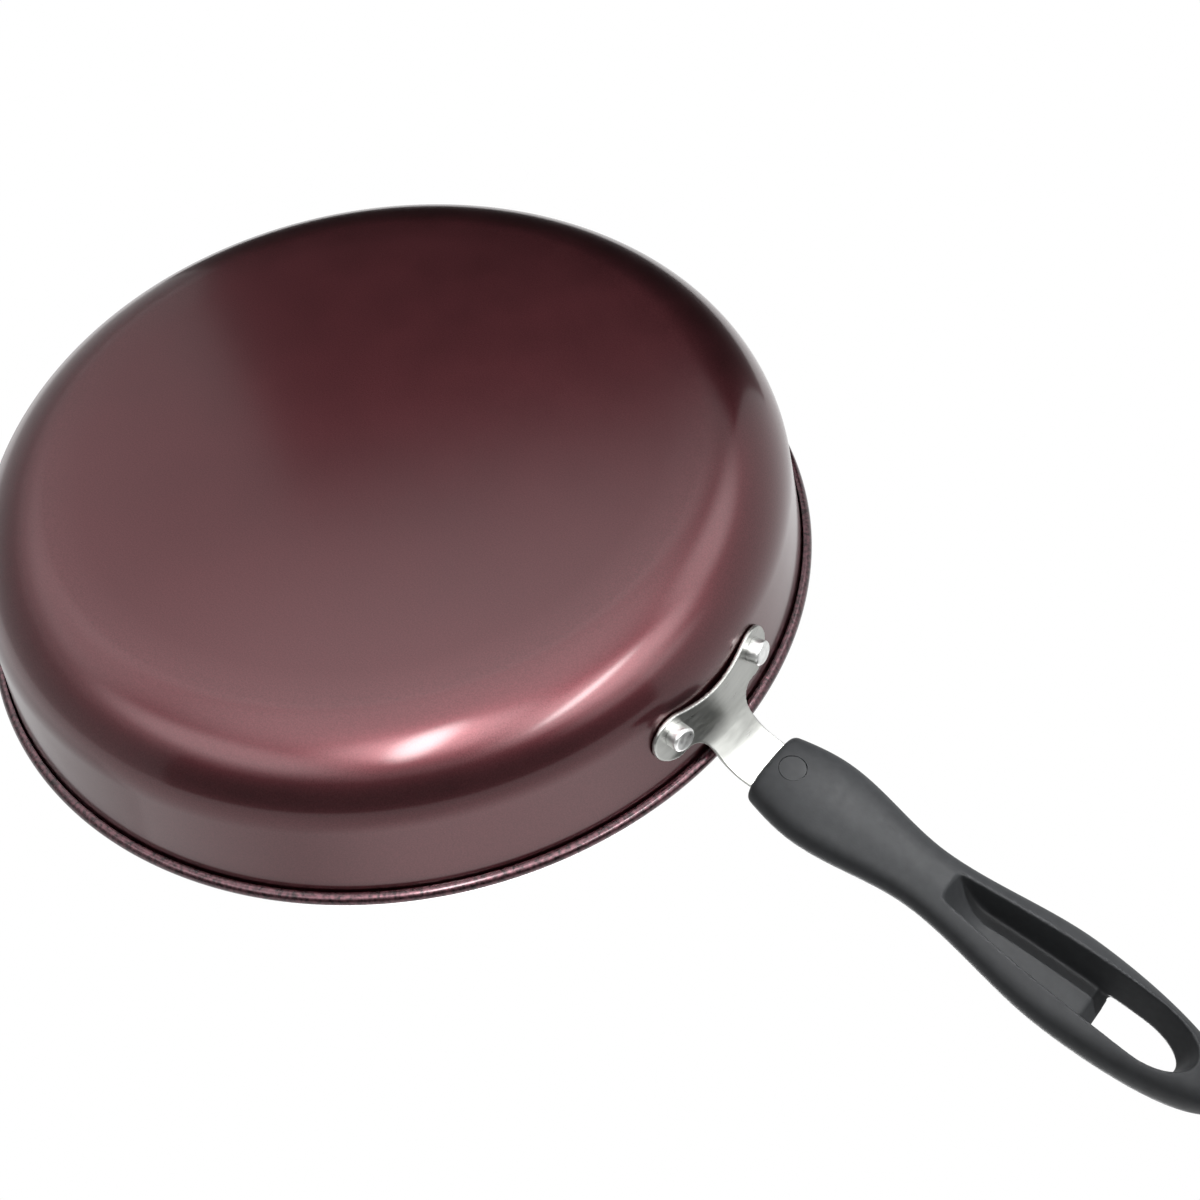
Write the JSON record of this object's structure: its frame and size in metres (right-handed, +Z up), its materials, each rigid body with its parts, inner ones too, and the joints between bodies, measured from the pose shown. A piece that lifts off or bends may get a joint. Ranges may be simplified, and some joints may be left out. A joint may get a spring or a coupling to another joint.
{
  "type": "egg pan",
  "caption": "Round shallow egg pan in pressed steel with an open rolled rim, a riveted handle bracket and a waisted moulded grip with a hanging hole.",
  "frame": {"origin": "centre of the flat base, on the surface the pan stands on", "axes": "+Z up out of the mouth of the pan, +X along the handle, away from the pan"},
  "size_m": [0.3899, 0.24, 0.0848],
  "materials": {
    "pan_paint": "semi-gloss pearl paint outside, dark non-stick coat inside",
    "bracket_steel": "satin",
    "rivet_aluminium": "satin",
    "grip_phenolic": "fine moulded satin",
    "fastener_zinc": "zinc plated"
  },
  "bodies": {
    "root": {"pan_body": "pan_paint", "handle_bracket": "bracket_steel", "rivet_left": "rivet_aluminium", "rivet_right": "rivet_aluminium", "handle_grip": "grip_phenolic", "screw_plug": "grip_phenolic", "handle_screw": "fastener_zinc", "lock_washer": "fastener_zinc"}
  },
  "joints": []
}
